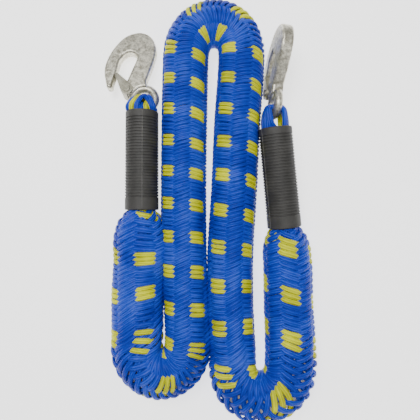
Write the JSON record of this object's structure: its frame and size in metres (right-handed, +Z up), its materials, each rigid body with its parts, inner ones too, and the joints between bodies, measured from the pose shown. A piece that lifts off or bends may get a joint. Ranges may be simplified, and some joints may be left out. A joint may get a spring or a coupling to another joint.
{
  "type": "elastic tow rope",
  "caption": "Braided elastic tow rope folded in four limbs, with a ribbed grip and a forged snap hook with a sprung latch at each end.",
  "frame": {"origin": "middle of the plan view, on the surface that the rope lies on", "axes": "+Z up from that surface, +Y along the limbs towards the hooks, +X to the right seen from above"},
  "size_m": [0.2086, 0.4154, 0.0596],
  "materials": {
    "braid_blue": "braided flat polypropylene strands",
    "braid_yellow": "braided flat polypropylene strands",
    "core_rubber": "matt natural rubber",
    "grip_plastic": "moulded, fine grain",
    "zinc_forging": "zinc plated forging, satin",
    "zinc_sheet": "zinc plated sheet, satin",
    "ferrule_steel": "crimped steel tube",
    "spring_wire": "drawn wire"
  },
  "bodies": {
    "rope": {"rope_sheath": "braid_blue", "elastic_strand_1": "core_rubber", "elastic_strand_2": "core_rubber", "elastic_strand_3": "core_rubber", "elastic_strand_4": "core_rubber", "elastic_strand_5": "core_rubber", "elastic_strand_6": "core_rubber", "elastic_strand_7": "core_rubber", "grip_sleeve_left": "grip_plastic", "crimp_ferrule_left": "ferrule_steel", "eye_loop_left": "braid_blue", "grip_sleeve_right": "grip_plastic", "crimp_ferrule_right": "ferrule_steel", "eye_loop_right": "braid_blue"},
    "hook_left": {"hook_body_left": "zinc_forging", "latch_rivet_left": "zinc_sheet", "latch_spring_left": "spring_wire"},
    "latch_left": {"hook_latch_left": "zinc_sheet"},
    "hook_right": {"hook_body_right": "zinc_forging", "latch_rivet_right": "zinc_sheet", "latch_spring_right": "spring_wire"},
    "latch_right": {"hook_latch_right": "zinc_sheet"}
  },
  "joints": [
    {"name": "hook_swing_left", "type": "hinge", "parent": "rope", "child": "hook_left", "pos_m": [-0.06369, 0.11136, 0.01973], "axis": [0.0006, 0.2011, 0.9796], "range_deg": [-10, 25]},
    {"name": "latch_open_left", "type": "hinge", "parent": "hook_left", "child": "latch_left", "pos_m": [-0.08032, 0.11978, 0.01801], "axis": [-0.0006, -0.2011, -0.9796], "range_deg": [0, 40], "stiffness_Nm_per_rad": 0.03, "springref_deg": -22.92, "deforming": ["latch_spring_left"]},
    {"name": "hook_swing_right", "type": "hinge", "parent": "rope", "child": "hook_right", "pos_m": [0.06601, 0.10365, 0.03271], "axis": [-0.9855, 0.0794, 0.1497], "range_deg": [-40, 5]},
    {"name": "latch_open_right", "type": "hinge", "parent": "hook_right", "child": "latch_right", "pos_m": [0.06504, 0.11674, 0.01936], "axis": [0.9855, -0.0794, -0.1497], "range_deg": [0, 40], "stiffness_Nm_per_rad": 0.03, "springref_deg": -22.92, "deforming": ["latch_spring_right"]}
  ]
}
